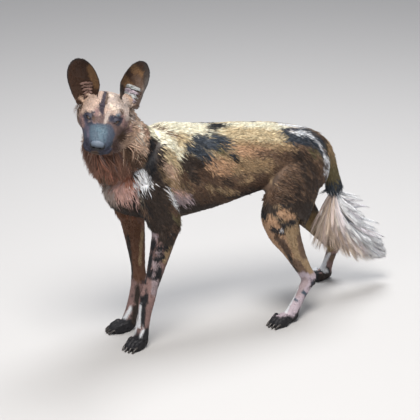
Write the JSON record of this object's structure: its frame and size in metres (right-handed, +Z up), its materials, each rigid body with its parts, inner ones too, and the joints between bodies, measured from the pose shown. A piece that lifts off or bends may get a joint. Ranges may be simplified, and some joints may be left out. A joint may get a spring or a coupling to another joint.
{
  "type": "african wild dog",
  "caption": "Life-size still model of an African wild dog, standing with its head turned to its left and its bushy tail hanging.",
  "frame": {"origin": "on the floor, at the middle of the footprint of the whole animal", "axes": "+Z up; the body runs along X with the chest toward -X and the tail toward +X; the animal's left side is toward -Y"},
  "size_m": [1.1128, 0.3694, 0.9111],
  "materials": {
    "body_coat": "rough fur, mottled black, tan, cream and white",
    "face_coat": "short fur, pale forehead, blue-black muzzle",
    "ear_coat": "short dark fur",
    "eye": "wet gloss, dark brown",
    "ruff_coat": "long shaggy fur, red-brown and tan",
    "leg_coat": "short fur, pale with black spots",
    "tail_coat": "short tan fur with a black band",
    "brush_coat": "long white and beige fur",
    "claw": "smooth dark horn"
  },
  "bodies": {
    "root": {"head": "face_coat", "ear_left": "ear_coat", "ear_right": "ear_coat", "eye_left": "eye", "eye_right": "eye", "neck": "ruff_coat", "torso": "body_coat", "foreleg_left": "leg_coat", "foreleg_right": "leg_coat", "hindleg_left": "leg_coat", "hindleg_right": "leg_coat", "tail": "tail_coat", "tail_brush": "brush_coat"}
  },
  "joints": []
}
